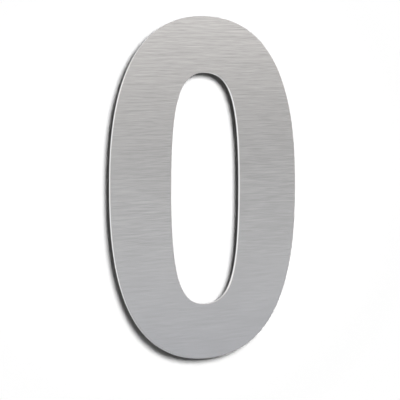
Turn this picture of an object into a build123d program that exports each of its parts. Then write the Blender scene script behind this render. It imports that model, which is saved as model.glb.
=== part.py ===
from build123d import *
import os

# A floating house number: a flat steel figure 0 that studs and sleeves hold off the wall.
# The origin is on the wall, behind the middle of the figure. +Y goes into the wall, +Z is up.

# Figure, in millimetres
FIGURE_HEIGHT = 203.2
FIGURE_WIDTH = 118.2
SIDE_STROKE = 37.2
CAP_STROKE = 32.9
PLATE_THICKNESS = 2.0
EDGE_BREAK = 0.2

# Fullness of each quarter curve: how far its handle reaches along the cap and down the side
OUTER_CAP_FULLNESS = 0.975
OUTER_SIDE_FULLNESS = 0.29
COUNTER_CAP_FULLNESS = 0.78
COUNTER_SIDE_FULLNESS = 0.735

# Fixings, in millimetres
STAND_OFF = 10.0
STUD_SPACING_UP = 100.0
STUD_DIAMETER = 4.0
STUD_LENGTH = 40.0
STUD_POINT = 0.6
SHANK_STEP = 0.25
FLANGE_LIP = 0.75
FLANGE_THICKNESS = 0.8
BORE_CLEARANCE = 0.25
FLANGE_CLEARANCE = 0.25
SLEEVE_WALL = 1.0
SLEEVE_EDGE = 0.3

# The studs stand on the middle of each side stroke
stud_x = (FIGURE_WIDTH - SIDE_STROKE) / 2
stud_z = STUD_SPACING_UP / 2
stud_radius = STUD_DIAMETER / 2
shank_radius = stud_radius - SHANK_STEP
flange_radius = stud_radius + FLANGE_LIP
recess_radius = flange_radius + FLANGE_CLEARANCE
recess_depth = FLANGE_THICKNESS + FLANGE_CLEARANCE
sleeve_radius = recess_radius + SLEEVE_WALL

plate_back = Plane.XZ.offset(STAND_OFF)
FROM_PLATE = (Align.CENTER, Align.CENTER, Align.MIN)


def oval(half_width, half_height, cap_fullness, side_fullness):
    """A face bounded by one quarter curve, mirrored about both axes."""
    cap = (0, half_height)
    cap_handle = (half_width * cap_fullness, half_height)
    side_handle = (half_width, half_height * side_fullness)
    side = (half_width, 0)
    quarter = Bezier(cap, cap_handle, side_handle, side)
    upper_half = Curve() + [quarter, mirror(quarter, Plane.YZ)]
    return make_face(Curve() + [upper_half, mirror(upper_half, Plane.XZ)])


def numeral_plate():
    """The sheet with its counter cut out and the front edges eased."""
    outline = oval(FIGURE_WIDTH / 2, FIGURE_HEIGHT / 2, OUTER_CAP_FULLNESS, OUTER_SIDE_FULLNESS)
    counter = oval(
        FIGURE_WIDTH / 2 - SIDE_STROKE,
        FIGURE_HEIGHT / 2 - CAP_STROKE,
        COUNTER_CAP_FULLNESS,
        COUNTER_SIDE_FULLNESS,
    )
    plate = extrude(plate_back * (outline - counter), PLATE_THICKNESS)
    front_edges = plate.faces().sort_by(Axis.Y)[0].edges()
    return fillet(front_edges, EDGE_BREAK)


def weld_stud():
    """A stud on its weld flange: a plain shank through the sleeve, then the thread in the wall."""
    flange = Cylinder(flange_radius, FLANGE_THICKNESS, align=FROM_PLATE)
    shank = Cylinder(shank_radius, STAND_OFF, align=FROM_PLATE)
    thread = Pos(Z=STAND_OFF) * Cylinder(stud_radius, STUD_LENGTH - STAND_OFF, align=FROM_PLATE)
    stud = flange + shank + thread
    return chamfer(stud.faces().sort_by(Axis.Z)[-1].edges(), STUD_POINT)


def standoff_sleeve():
    """A tube over the stud, recessed at the plate's end to clear the weld flange."""
    tube = Cylinder(sleeve_radius, STAND_OFF, align=FROM_PLATE)
    wall_end = tube.faces().sort_by(Axis.Z)[-1]
    tube = chamfer(wall_end.edges(), SLEEVE_EDGE)
    bore = Cylinder(stud_radius + BORE_CLEARANCE, STAND_OFF, align=FROM_PLATE)
    recess = Cylinder(recess_radius, recess_depth, align=FROM_PLATE)
    return tube - bore - recess


def at_fixings(piece):
    """One copy of a piece at each fixing, pointing into the wall."""
    places = [
        Plane((side * stud_x, -STAND_OFF, level * stud_z), x_dir=(1, 0, 0), z_dir=(0, 1, 0))
        for side in (-1, 1)
        for level in (-1, 1)
    ]
    return Compound(children=[place * piece for place in places])


os.makedirs("parts", exist_ok=True)
export_step(numeral_plate(), "parts/numeral_plate.step")
export_step(at_fixings(weld_stud()), "parts/weld_studs.step")
export_step(at_fixings(standoff_sleeve()), "parts/standoff_sleeves.step")
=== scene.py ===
import math
import bmesh
import bpy
from mathutils import Matrix, Vector


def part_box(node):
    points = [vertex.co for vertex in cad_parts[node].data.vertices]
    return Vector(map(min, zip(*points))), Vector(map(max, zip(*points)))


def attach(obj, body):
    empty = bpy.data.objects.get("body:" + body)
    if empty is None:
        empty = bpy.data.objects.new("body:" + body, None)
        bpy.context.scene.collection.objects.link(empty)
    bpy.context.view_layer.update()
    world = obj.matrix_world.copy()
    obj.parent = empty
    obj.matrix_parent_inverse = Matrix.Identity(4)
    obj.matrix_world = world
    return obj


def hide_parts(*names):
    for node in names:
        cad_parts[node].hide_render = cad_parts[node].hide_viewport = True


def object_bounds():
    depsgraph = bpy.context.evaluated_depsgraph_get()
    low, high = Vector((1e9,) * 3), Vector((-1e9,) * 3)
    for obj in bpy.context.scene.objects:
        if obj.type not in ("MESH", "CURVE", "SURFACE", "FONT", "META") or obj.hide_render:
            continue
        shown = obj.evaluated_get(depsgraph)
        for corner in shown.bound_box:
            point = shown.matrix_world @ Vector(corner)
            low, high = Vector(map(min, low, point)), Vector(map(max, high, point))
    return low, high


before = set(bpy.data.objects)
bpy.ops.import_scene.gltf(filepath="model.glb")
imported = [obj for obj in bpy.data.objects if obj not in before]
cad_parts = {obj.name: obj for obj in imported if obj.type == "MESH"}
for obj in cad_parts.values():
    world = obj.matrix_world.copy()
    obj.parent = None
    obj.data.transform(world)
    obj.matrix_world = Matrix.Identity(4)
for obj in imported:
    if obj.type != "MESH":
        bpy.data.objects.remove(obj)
cad_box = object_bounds()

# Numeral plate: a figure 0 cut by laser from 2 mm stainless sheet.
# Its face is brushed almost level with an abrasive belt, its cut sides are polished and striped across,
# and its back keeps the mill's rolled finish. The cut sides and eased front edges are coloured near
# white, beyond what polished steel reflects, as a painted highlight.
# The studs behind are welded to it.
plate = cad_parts["numeral_plate"]
studs_low, studs_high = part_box("weld_studs")
MM = 0.001
GRAIN_WIDTH = 0.45 * MM
GRAIN_LENGTH = 26 * MM
HAIRLINE_WIDTH = 0.3 * MM
HAIRLINE_LENGTH = 11 * MM
GRAIN_RISE = math.radians(1.5)
SCRATCH_STEP = 0.002
ROW_SPACING = 7.3
ROW_TURN = 0.6
PATCH_WIDTH = 24 * MM
PATCH_LENGTH = 36 * MM
FAINT_GRAIN_Z = -50 * MM
FULL_GRAIN_Z = 5 * MM
FAINT_GRAIN = 0.25
FULL_GRAIN = 0.8
BRUSH_LOW = 0.7
BRUSH_HIGH = 1.3
STRIA_WIDTH = 0.35 * MM
ROLL_WIDTH = 1.6 * MM
ROLL_LENGTH = 60 * MM
FLANGE_RADIUS = 2.75 * MM
HEATED_RADIUS = 4.2 * MM
UNHEATED_RADIUS = 8 * MM
HEAT_TINT = 0.7
SIDE_FACING = 0.6
FLAT_FACING = 0.9
stud_x = studs_high.x - FLANGE_RADIUS
stud_z = studs_high.z - FLANGE_RADIUS


def linear(colour):
    """An sRGB hex colour as linear RGBA."""
    channels = [int(colour[k:k + 2], 16) / 255 for k in (1, 3, 5)]
    return [c / 12.92 if c <= 0.04045 else ((c + 0.055) / 1.055) ** 2.4 for c in channels] + [1.0]


def add_node(tree, kind, inputs=None, **settings):
    """Adds a node with its settings, and fills or links its inputs."""
    node = tree.nodes.new(kind)
    for name, value in settings.items():
        setattr(node, name, value)
    for name, value in (inputs or {}).items():
        if isinstance(value, bpy.types.NodeSocket):
            tree.links.new(value, node.inputs[name])
        else:
            node.inputs[name].default_value = value
    return node


def new_material(name):
    """An empty node material and its tree."""
    material = bpy.data.materials.new(name)
    material.use_nodes = True
    material.node_tree.nodes.clear()
    return material, material.node_tree


def streaks(tree, place, width, length, detail):
    """Level streaks of a given width and length, as a value about 0.5."""
    stretched = add_node(
        tree, "ShaderNodeMapping", {"Vector": place, "Scale": (1 / length, 0, 1 / width)}
    )
    noise = add_node(
        tree,
        "ShaderNodeTexNoise",
        {"Vector": stretched.outputs["Vector"], "Scale": 1.0, "Detail": detail, "Roughness": 0.6},
    )
    return noise.outputs["Fac"]


def scratches(tree, place, width, length):
    """Straight scratches of a given width and length, side by side, as a value about 0.5."""
    stretched = add_node(
        tree,
        "ShaderNodeMapping",
        {"Vector": place, "Rotation": (0, -GRAIN_RISE, 0), "Scale": (length, 0, width)},
        vector_type="TEXTURE",
    )
    rows = add_node(
        tree,
        "ShaderNodeVectorMath",
        {0: stretched.outputs["Vector"], 1: (SCRATCH_STEP, 1, 1)},
        operation="SNAP",
    )
    apart = add_node(
        tree,
        "ShaderNodeMapping",
        {
            "Vector": rows.outputs["Vector"],
            "Scale": (1, 1, ROW_SPACING),
            "Rotation": (0, ROW_TURN, 0),
        },
    )
    noise = add_node(
        tree,
        "ShaderNodeTexNoise",
        {"Vector": apart.outputs["Vector"], "Scale": 1.0, "Detail": 2.0, "Roughness": 0.6},
    )
    return noise.outputs["Fac"]


def brushed_stainless():
    """Brushed stainless sheet: almost level grain that stretches reflections upright, and cut sides
    coloured near white, brighter than the steel reflects, as a painted highlight.
    Grain this fine is under a pixel, so it is drawn a few times coarser than the belt leaves it.
    The belt has bitten less towards the foot of the figure, where the grain is faint.
    The back is as rolled, with a straw-coloured ring where each stud's weld has heated it."""
    material, tree = new_material("brushed_stainless_sheet")
    coordinates = add_node(tree, "ShaderNodeTexCoord")
    place = coordinates.outputs["Object"]
    facing = add_node(tree, "ShaderNodeSeparateXYZ", {"Vector": coordinates.outputs["Normal"]})
    front = add_node(
        tree,
        "ShaderNodeMapRange",
        {"Value": facing.outputs["Y"], "From Min": -SIDE_FACING, "From Max": -FLAT_FACING},
    )
    back = add_node(
        tree,
        "ShaderNodeMapRange",
        {"Value": facing.outputs["Y"], "From Min": SIDE_FACING, "From Max": FLAT_FACING},
    )

    grain = scratches(tree, place, GRAIN_WIDTH, GRAIN_LENGTH)
    hairline = scratches(tree, place, HAIRLINE_WIDTH, HAIRLINE_LENGTH)
    brushing = add_node(tree, "ShaderNodeMath", {0: grain, 1: hairline}, operation="ADD")
    brushed = add_node(
        tree,
        "ShaderNodeMapRange",
        {"Value": brushing.outputs["Value"], "From Min": BRUSH_LOW, "From Max": BRUSH_HIGH},
    )
    streaked_colour = add_node(
        tree,
        "ShaderNodeMixRGB",
        {"Fac": brushed.outputs["Result"], "Color1": linear("#b7b7b7"), "Color2": linear("#d9d9d9")},
    )
    patches = streaks(tree, place, PATCH_WIDTH, PATCH_LENGTH, 1.0)
    plain_colour = add_node(
        tree,
        "ShaderNodeMixRGB",
        {"Fac": patches, "Color1": linear("#c4c4c4"), "Color2": linear("#cecece")},
    )
    height = add_node(tree, "ShaderNodeSeparateXYZ", {"Vector": place})
    bite = add_node(
        tree,
        "ShaderNodeMapRange",
        {
            "Value": height.outputs["Z"],
            "From Min": FAINT_GRAIN_Z,
            "From Max": FULL_GRAIN_Z,
            "To Min": FAINT_GRAIN,
            "To Max": FULL_GRAIN,
        },
    )
    face_colour = add_node(
        tree,
        "ShaderNodeMixRGB",
        {
            "Fac": bite.outputs["Result"],
            "Color1": plain_colour.outputs["Color"],
            "Color2": streaked_colour.outputs["Color"],
        },
    )
    stria_scale = (1 / STRIA_WIDTH, 0, 1 / STRIA_WIDTH)
    across = add_node(tree, "ShaderNodeMapping", {"Vector": place, "Scale": stria_scale})
    stria = add_node(tree, "ShaderNodeTexNoise", {"Vector": across.outputs["Vector"], "Scale": 1.0})
    # Painted highlight: the cut sides, and the eased front edges where they turn, are coloured near
    # white, brighter than bare polished stainless reflects.
    side_colour_and_painted_highlight = add_node(
        tree,
        "ShaderNodeMixRGB",
        {"Fac": stria.outputs["Fac"], "Color1": linear("#f2f2f1"), "Color2": linear("#ffffff")},
    )
    rolled = streaks(tree, place, ROLL_WIDTH, ROLL_LENGTH, 4.0)
    rolled_colour = add_node(
        tree,
        "ShaderNodeMixRGB",
        {"Fac": rolled, "Color1": linear("#b2b1ae"), "Color2": linear("#c6c5c2")},
    )
    one_quarter = add_node(tree, "ShaderNodeVectorMath", {0: place}, operation="ABSOLUTE")
    from_stud = add_node(
        tree,
        "ShaderNodeVectorMath",
        {0: one_quarter.outputs["Vector"], 1: (stud_x, 0, stud_z)},
        operation="SUBTRACT",
    )
    on_back = add_node(
        tree,
        "ShaderNodeVectorMath",
        {0: from_stud.outputs["Vector"], 1: (1, 0, 1)},
        operation="MULTIPLY",
    )
    stud_reach = add_node(
        tree, "ShaderNodeVectorMath", {0: on_back.outputs["Vector"]}, operation="LENGTH"
    )
    heat = add_node(
        tree,
        "ShaderNodeMapRange",
        {
            "Value": stud_reach.outputs["Value"],
            "From Min": UNHEATED_RADIUS,
            "From Max": HEATED_RADIUS,
            "To Max": HEAT_TINT,
        },
        interpolation_type="SMOOTHSTEP",
    )
    back_colour = add_node(
        tree,
        "ShaderNodeMixRGB",
        {
            "Fac": heat.outputs["Result"],
            "Color1": rolled_colour.outputs["Color"],
            "Color2": linear("#b39a72"),
        },
    )
    side_or_front = add_node(
        tree,
        "ShaderNodeMixRGB",
        {
            "Fac": front.outputs["Result"],
            "Color1": side_colour_and_painted_highlight.outputs["Color"],
            "Color2": face_colour.outputs["Color"],
        },
    )
    colour = add_node(
        tree,
        "ShaderNodeMixRGB",
        {
            "Fac": back.outputs["Result"],
            "Color1": side_or_front.outputs["Color"],
            "Color2": back_colour.outputs["Color"],
        },
    )
    roughness = add_node(
        tree,
        "ShaderNodeMapRange",
        {"Value": brushed.outputs["Result"], "To Min": 0.24, "To Max": 0.22},
    )
    upright = add_node(tree, "ShaderNodeCombineXYZ", {"Z": 1.0})
    shader = add_node(
        tree,
        "ShaderNodeBsdfPrincipled",
        {
            "Base Color": colour.outputs["Color"],
            "Metallic": 1.0,
            "Roughness": roughness.outputs["Result"],
            "Anisotropic": 0.6,
            "Tangent": upright.outputs["Vector"],
        },
    )
    add_node(tree, "ShaderNodeOutputMaterial", {"Surface": shader.outputs["BSDF"]})
    return material


def dress(node, material):
    """Gives a piece one material."""
    node.data.materials.clear()
    node.data.materials.append(material)


dress(plate, brushed_stainless())

# Weld studs: four stainless M4 studs, each on a small flange that is welded to the plate's back.
# A plain shank passes through the sleeve, and the rolled thread beyond it goes into the wall.
THREAD_RADIUS = 2.0 * MM
THREAD_PITCH = 0.7 * MM
THREAD_ROOT = 1.58 * MM
THREAD_CREST_FLAT = THREAD_PITCH / 8
SHANK_RADIUS = 1.75 * MM
FLANGE_THICKNESS = 0.8 * MM
FLANGE_BEVEL = 0.15 * MM
POINT_LENGTH = 0.6 * MM
TURN_STEPS = 28
MERGE_DISTANCE = 0.001 * MM
CUT_MARGIN = 0.02 * MM
SHARP_ANGLE = math.radians(35)
DRAWN_WIDTH = 0.4 * MM
DRAWN_LENGTH = 6 * MM
stud_foot = studs_low.y
stud_tip = studs_high.y
wall_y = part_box("standoff_sleeves")[1].y


def stud_mesh():
    """One stud about the Y axis: a turned foot and shank, and a helical thread with a pointed end."""
    mesh = bmesh.new()
    profile = [
        (0, stud_foot),
        (FLANGE_RADIUS, stud_foot),
        (FLANGE_RADIUS, stud_foot + FLANGE_THICKNESS - FLANGE_BEVEL),
        (FLANGE_RADIUS - FLANGE_BEVEL, stud_foot + FLANGE_THICKNESS),
        (SHANK_RADIUS, stud_foot + FLANGE_THICKNESS),
        (SHANK_RADIUS, wall_y),
        (0, wall_y),
    ]
    points = [mesh.verts.new((r, y, 0)) for r, y in profile]
    edges = [mesh.edges.new(pair) for pair in zip(points, points[1:])]
    bmesh.ops.spin(
        mesh,
        geom=points + edges,
        cent=(0, 0, 0),
        axis=(0, 1, 0),
        angle=math.tau,
        steps=TURN_STEPS,
        use_merge=True,
    )
    bmesh.ops.remove_doubles(mesh, verts=mesh.verts, dist=MERGE_DISTANCE)

    flank = (THREAD_PITCH - 2 * THREAD_CREST_FLAT) / 2
    tooth = [
        (THREAD_ROOT, 0),
        (THREAD_RADIUS, flank),
        (THREAD_RADIUS, flank + THREAD_CREST_FLAT),
        (THREAD_ROOT, 2 * flank + THREAD_CREST_FLAT),
        (THREAD_ROOT, THREAD_PITCH),
    ]
    start = wall_y - THREAD_PITCH
    turns = math.ceil((stud_tip - start) / THREAD_PITCH) + 1
    thread = bmesh.new()
    points = [thread.verts.new((r, start + y, 0)) for r, y in tooth]
    edges = [thread.edges.new(pair) for pair in zip(points, points[1:])]
    bmesh.ops.spin(
        thread,
        geom=points + edges,
        cent=(0, 0, 0),
        axis=(0, 1, 0),
        dvec=(0, THREAD_PITCH / TURN_STEPS, 0),
        angle=math.tau * turns,
        steps=TURN_STEPS * turns,
    )
    bmesh.ops.remove_doubles(thread, verts=thread.verts, dist=MERGE_DISTANCE)
    for level, outward in ((wall_y, -1), (stud_tip, 1)):
        everything = thread.verts[:] + thread.edges[:] + thread.faces[:]
        cut = bmesh.ops.bisect_plane(
            thread,
            geom=everything,
            dist=CUT_MARGIN,
            plane_co=(0, level, 0),
            plane_no=(0, outward, 0),
            clear_outer=True,
        )
        rim = [e for e in cut["geom_cut"] if isinstance(e, bmesh.types.BMEdge)]
        for edge in rim:
            for vert in edge.verts:
                vert.co.y = level
        bmesh.ops.edgeloop_fill(thread, edges=rim)
    for vert in thread.verts:
        radius = math.hypot(vert.co.x, vert.co.z)
        limit = THREAD_RADIUS - max(0, vert.co.y - (stud_tip - POINT_LENGTH))
        if radius > limit:
            vert.co.x *= limit / radius
            vert.co.z *= limit / radius
    piece = bpy.data.meshes.new("thread")
    thread.to_mesh(piece)
    thread.free()
    mesh.from_mesh(piece)
    bpy.data.meshes.remove(piece)
    bmesh.ops.recalc_face_normals(mesh, faces=mesh.faces)
    return mesh


def bright_stud_steel():
    """Bright cold-headed stainless, with fine drawing marks along the stud."""
    material, tree = new_material("rolled_thread_stainless")
    coordinates = add_node(tree, "ShaderNodeTexCoord")
    drawn_scale = (1 / DRAWN_WIDTH, 1 / DRAWN_LENGTH, 1 / DRAWN_WIDTH)
    drawn = add_node(
        tree, "ShaderNodeMapping", {"Vector": coordinates.outputs["Object"], "Scale": drawn_scale}
    )
    marks = add_node(tree, "ShaderNodeTexNoise", {"Vector": drawn.outputs["Vector"], "Scale": 1.0})
    colour = add_node(
        tree,
        "ShaderNodeMixRGB",
        {"Fac": marks.outputs["Fac"], "Color1": linear("#aaa8a4"), "Color2": linear("#c8c6c2")},
    )
    roughness = add_node(
        tree,
        "ShaderNodeMapRange",
        {"Value": marks.outputs["Fac"], "To Min": 0.2, "To Max": 0.34},
    )
    shader = add_node(
        tree,
        "ShaderNodeBsdfPrincipled",
        {
            "Base Color": colour.outputs["Color"],
            "Metallic": 1.0,
            "Roughness": roughness.outputs["Result"],
        },
    )
    add_node(tree, "ShaderNodeOutputMaterial", {"Surface": shader.outputs["BSDF"]})
    return material


one_stud = stud_mesh()
one_mesh = bpy.data.meshes.new("one_stud")
one_stud.to_mesh(one_mesh)
one_stud.free()
all_studs = bmesh.new()
for side in (-1, 1):
    for level in (-1, 1):
        placed = one_mesh.copy()
        placed.transform(Matrix.Translation((side * stud_x, 0, level * stud_z)))
        all_studs.from_mesh(placed)
        bpy.data.meshes.remove(placed)
bpy.data.meshes.remove(one_mesh)
stud_data = bpy.data.meshes.new("threaded_weld_studs")
all_studs.to_mesh(stud_data)
all_studs.free()
stud_data.shade_smooth()
stud_data.set_sharp_from_angle(angle=SHARP_ANGLE)
studs = bpy.data.objects.new("threaded_weld_studs", stud_data)
bpy.context.scene.collection.objects.link(studs)
dress(studs, bright_stud_steel())
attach(studs, "root")
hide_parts("weld_studs")

# Stand-off sleeves: four short tubes, turned from aluminium rod and satin anodised.
# They slide over the studs and hold the plate off the wall.
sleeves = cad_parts["standoff_sleeves"]
TOOL_MARK = 0.12 * MM


def satin_anodised_aluminium():
    """Satin anodised aluminium: pale and soft, with the lathe's fine rings round the tube."""
    material, tree = new_material("satin_anodised_aluminium")
    coordinates = add_node(tree, "ShaderNodeTexCoord")
    along = add_node(
        tree,
        "ShaderNodeMapping",
        {"Vector": coordinates.outputs["Object"], "Scale": (0, 1 / TOOL_MARK, 0)},
    )
    rings = add_node(tree, "ShaderNodeTexNoise", {"Vector": along.outputs["Vector"], "Scale": 1.0})
    colour = add_node(
        tree,
        "ShaderNodeMixRGB",
        {"Fac": rings.outputs["Fac"], "Color1": linear("#cfd0d1"), "Color2": linear("#e2e3e4")},
    )
    roughness = add_node(
        tree,
        "ShaderNodeMapRange",
        {"Value": rings.outputs["Fac"], "To Min": 0.34, "To Max": 0.46},
    )
    shader = add_node(
        tree,
        "ShaderNodeBsdfPrincipled",
        {
            "Base Color": colour.outputs["Color"],
            "Metallic": 1.0,
            "Roughness": roughness.outputs["Result"],
        },
    )
    add_node(tree, "ShaderNodeOutputMaterial", {"Surface": shader.outputs["BSDF"]})
    return material


dress(sleeves, satin_anodised_aluminium())

# Wall: a flat white wall at the ends of the sleeves, where the figure's shadow falls.
# It is one-sided, so that the fixings can be seen from behind.
WALL_SPAN = 6.0
SHADED_RADIUS = 0.125
WHITE_RADIUS = 0.165


def flat_sheet(name, span, place):
    """A square sheet of the studio, level unless its place turns it."""
    mesh = bmesh.new()
    bmesh.ops.create_grid(mesh, x_segments=1, y_segments=1, size=span / 2, matrix=place)
    data = bpy.data.meshes.new(name)
    mesh.to_mesh(data)
    mesh.free()
    sheet = bpy.data.objects.new(name, data)
    bpy.context.scene.collection.objects.link(sheet)
    return sheet


def seen_in_metal(tree, ray):
    """1 for what the eye sees mirrored in metal, 0 for what it sees directly or metal throws on paint."""
    unscattered = add_node(
        tree, "ShaderNodeMath", {0: ray.outputs["Diffuse Depth"], 1: 1.0}, operation="LESS_THAN"
    )
    in_metal = add_node(
        tree,
        "ShaderNodeMath",
        {0: ray.outputs["Is Glossy Ray"], 1: unscattered.outputs["Value"]},
        operation="MULTIPLY",
    )
    return in_metal.outputs["Value"]


def studio_paint(name, inner, outer, glow):
    """Matt white paint that takes the shadow near the figure, and glows evenly to the eye further off.
    Metal mirrors the room past it, and little light is scattered into the gap behind the figure."""
    material, tree = new_material(name)
    seen_by = add_node(tree, "ShaderNodeLightPath")
    surface = add_node(tree, "ShaderNodeNewGeometry")
    coordinates = add_node(tree, "ShaderNodeTexCoord")
    reach = add_node(
        tree, "ShaderNodeVectorMath", {0: coordinates.outputs["Object"]}, operation="LENGTH"
    )
    afar = add_node(
        tree,
        "ShaderNodeMapRange",
        {"Value": reach.outputs["Value"], "From Min": inner, "From Max": outer},
    )
    paint_colour = add_node(
        tree,
        "ShaderNodeMixRGB",
        {
            "Fac": seen_by.outputs["Is Camera Ray"],
            "Color1": linear("#7f7f7f"),
            "Color2": linear("#ffffff"),
        },
    )
    matt = add_node(tree, "ShaderNodeBsdfDiffuse", {"Color": paint_colour.outputs["Color"]})
    white = add_node(tree, "ShaderNodeEmission", {"Color": linear(glow), "Strength": 1.0})
    eye_afar = add_node(
        tree,
        "ShaderNodeMath",
        {0: seen_by.outputs["Is Camera Ray"], 1: afar.outputs["Result"]},
        operation="MULTIPLY",
    )
    painted = add_node(
        tree,
        "ShaderNodeMixShader",
        {"Fac": eye_afar.outputs["Value"], 1: matt.outputs["BSDF"], 2: white.outputs["Emission"]},
    )
    see_through = add_node(
        tree,
        "ShaderNodeMath",
        {0: surface.outputs["Backfacing"], 1: seen_in_metal(tree, seen_by)},
        operation="MAXIMUM",
    )
    clear = add_node(tree, "ShaderNodeBsdfTransparent")
    one_sided = add_node(
        tree,
        "ShaderNodeMixShader",
        {"Fac": see_through.outputs["Value"], 1: painted.outputs["Shader"], 2: clear.outputs["BSDF"]},
    )
    add_node(tree, "ShaderNodeOutputMaterial", {"Surface": one_sided.outputs["Shader"]})
    return material


upright_at_wall = Matrix.Translation((0, wall_y, 0)) @ Matrix.Rotation(math.pi / 2, 4, "X")
wall = flat_sheet("white_wall", WALL_SPAN, upright_at_wall)
dress(wall, studio_paint("white_wall_paint", SHADED_RADIUS, WHITE_RADIUS, "#ffffff"))

# Floor: a pale painted floor, well below the figure and out of the photograph's frame.
# It runs far out, and shows in views from behind and from the sides.
FLOOR_DROP = 0.4
FLOOR_SPAN = 80.0
floor_z = cad_box[0].z - FLOOR_DROP
floor = flat_sheet("pale_floor", FLOOR_SPAN, Matrix.Translation((0, 0, floor_z)))
dress(floor, studio_paint("pale_floor_paint", 0.0, FLOOR_DROP, "#efefee"))

# Light: one soft box, up and to the right of the camera, turned down so that the wall is evenly white.
# The metal mirrors a room instead: a grey and pale floor, a dark band at eye level, a wide bright window
# and a grey ceiling, dimmer far to the sides and in a patch to the right, and a white wall behind.
SOFT_BOX_PLACE = (-0.058, -0.66, 0.163)
SOFT_BOX_AIM = (0.2, 0, -0.55)
SOFT_BOX_SIZE = 0.195
SOFT_BOX_POWER = 5.8
soft_box = bpy.data.lights.new("soft_box", "AREA")
soft_box.shape = "SQUARE"
soft_box.size = SOFT_BOX_SIZE
soft_box.energy = SOFT_BOX_POWER
soft_box_object = bpy.data.objects.new("soft_box", soft_box)
soft_box_object.location = SOFT_BOX_PLACE
towards = Vector(SOFT_BOX_AIM) - Vector(SOFT_BOX_PLACE)
soft_box_object.rotation_euler = towards.to_track_quat("-Z", "Y").to_euler()
soft_box_object.visible_glossy = False
soft_box_object.visible_camera = False
bpy.context.scene.collection.objects.link(soft_box_object)

ROOM_FILL = 0.1
ROOM_BRIGHTEST = 1.55
ROOM_ASIDE = 0.6
ASIDE_START = 0.86
ASIDE_END = 0.97
# By degrees above the horizon: floor, its cool and pale parts, dark band, window's foot and head, ceiling
ROOM_TONES = (
    (-25, "#a0a0a0"),
    (-15, "#9b9ea8"),
    (-7, "#dddddd"),
    (3, "#505050"),
    (7, "#fcf8f5"),
    (30, "#fcf8f5"),
    (50, "#909090"),
)
WALL_TONES = (
    (-28, "#a4a4a4"),
    (-16, "#ffffff"),
    (8, "#ffffff"),
    (22, "#d0d0d0"),
)
WALL_START = 0.4
WALL_FULL = 0.8
DIM_PLACE = (0.42, -0.9, 0.03)
DIM_CORE = 0.05
DIM_EDGE = 0.2
DIM_SHARE = 0.84


def tone_ramp(tree, level, tones):
    """Tones of the room by angle above the horizon."""
    ramp = add_node(tree, "ShaderNodeValToRGB", {"Fac": level})
    steps = ramp.color_ramp.elements
    steps.remove(steps[1])
    for place_in_list, (angle, tone) in enumerate(tones):
        position = (math.sin(math.radians(angle)) + 1) / 2
        step = steps[0] if place_in_list == 0 else steps.new(position)
        step.position = position
        step.color = linear(tone)
    return ramp.outputs["Color"]


world = bpy.data.worlds.new("studio_room")
bpy.context.scene.world = world
world.use_nodes = True
room = world.node_tree
room.nodes.clear()
outlook = add_node(room, "ShaderNodeTexCoord")
towards_axes = add_node(room, "ShaderNodeSeparateXYZ", {"Vector": outlook.outputs["Generated"]})
height = add_node(
    room, "ShaderNodeMapRange", {"Value": towards_axes.outputs["Z"], "From Min": -1.0, "From Max": 1.0}
)
room_tone = tone_ramp(room, height.outputs["Result"], ROOM_TONES)
wall_tone = tone_ramp(room, height.outputs["Result"], WALL_TONES)
sideways = add_node(room, "ShaderNodeMath", {0: towards_axes.outputs["X"]}, operation="ABSOLUTE")
strength = add_node(
    room,
    "ShaderNodeMapRange",
    {
        "Value": sideways.outputs["Value"],
        "From Min": ASIDE_START,
        "From Max": ASIDE_END,
        "To Min": ROOM_BRIGHTEST,
        "To Max": ROOM_ASIDE,
    },
)
from_dim = add_node(
    room, "ShaderNodeVectorMath", {0: outlook.outputs["Generated"], 1: DIM_PLACE}, operation="DISTANCE"
)
dimming = add_node(
    room,
    "ShaderNodeMapRange",
    {
        "Value": from_dim.outputs["Value"],
        "From Min": DIM_CORE,
        "From Max": DIM_EDGE,
        "To Min": DIM_SHARE,
    },
)
dimmed = add_node(
    room,
    "ShaderNodeMath",
    {0: strength.outputs["Result"], 1: dimming.outputs["Result"]},
    operation="MULTIPLY",
)
front_room = add_node(
    room, "ShaderNodeBackground", {"Color": room_tone, "Strength": dimmed.outputs["Value"]}
)
wall_side = add_node(room, "ShaderNodeBackground", {"Color": wall_tone, "Strength": 1.0})
behind_wall = add_node(
    room,
    "ShaderNodeMapRange",
    {"Value": towards_axes.outputs["Y"], "From Min": WALL_START, "From Max": WALL_FULL},
)
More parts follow.
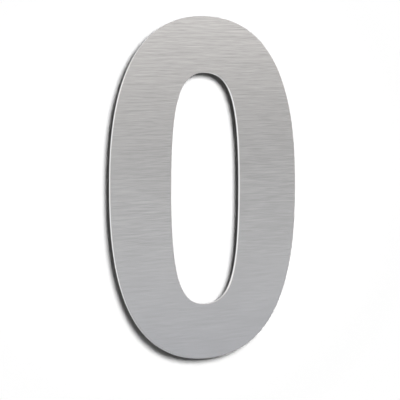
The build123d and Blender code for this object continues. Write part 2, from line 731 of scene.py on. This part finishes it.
mirrored_room = add_node(
    room,
    "ShaderNodeMixShader",
    {
        "Fac": behind_wall.outputs["Result"],
        1: front_room.outputs["Background"],
        2: wall_side.outputs["Background"],
    },
)
white = add_node(room, "ShaderNodeBackground", {"Color": linear("#ffffff"), "Strength": 1.0})
fill = add_node(room, "ShaderNodeBackground", {"Color": linear("#ffffff"), "Strength": ROOM_FILL})
ray = add_node(room, "ShaderNodeLightPath")
in_metal = seen_in_metal(room, ray)
lit_room = add_node(
    room,
    "ShaderNodeMixShader",
    {"Fac": in_metal, 1: fill.outputs["Background"], 2: mirrored_room.outputs["Shader"]},
)
whole_room = add_node(
    room,
    "ShaderNodeMixShader",
    {"Fac": ray.outputs["Is Camera Ray"], 1: lit_room.outputs["Shader"], 2: white.outputs["Background"]},
)
add_node(room, "ShaderNodeOutputWorld", {"Surface": whole_room.outputs["Shader"]})

# Camera: to the left of the figure and a little above its middle, as in the photograph.
# The lens is given in pixels of a 400 pixel frame, and the aim as a step off the face's centre.
AZIMUTH = math.radians(-22.0)
ELEVATION = math.radians(2.65)
DISTANCE = 587.6 * MM
FOCAL_PIXELS = 990.2
FRAME_PIXELS = 400
SENSOR_WIDTH = 36
AIM_RIGHT = -3.58 * MM
AIM_UP = -6.55 * MM
face_centre = Vector((0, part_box("numeral_plate")[0].y, 0))
away = Vector(
    (
        math.sin(AZIMUTH) * math.cos(ELEVATION),
        -math.cos(AZIMUTH) * math.cos(ELEVATION),
        math.sin(ELEVATION),
    )
)
to_right = Vector((math.cos(AZIMUTH), math.sin(AZIMUTH), 0))
to_top = away.cross(to_right)
aim = face_centre + to_right * AIM_RIGHT + to_top * AIM_UP
camera_data = bpy.data.cameras.new("camera")
camera_data.sensor_width = SENSOR_WIDTH
camera_data.lens = SENSOR_WIDTH * FOCAL_PIXELS / FRAME_PIXELS
camera = bpy.data.objects.new("camera", camera_data)
camera.location = face_centre + away * DISTANCE
camera.rotation_euler = (aim - camera.location).to_track_quat("-Z", "Y").to_euler()
bpy.context.scene.collection.objects.link(camera)
bpy.context.scene.camera = camera

bpy.context.scene.view_settings.view_transform = "Standard"
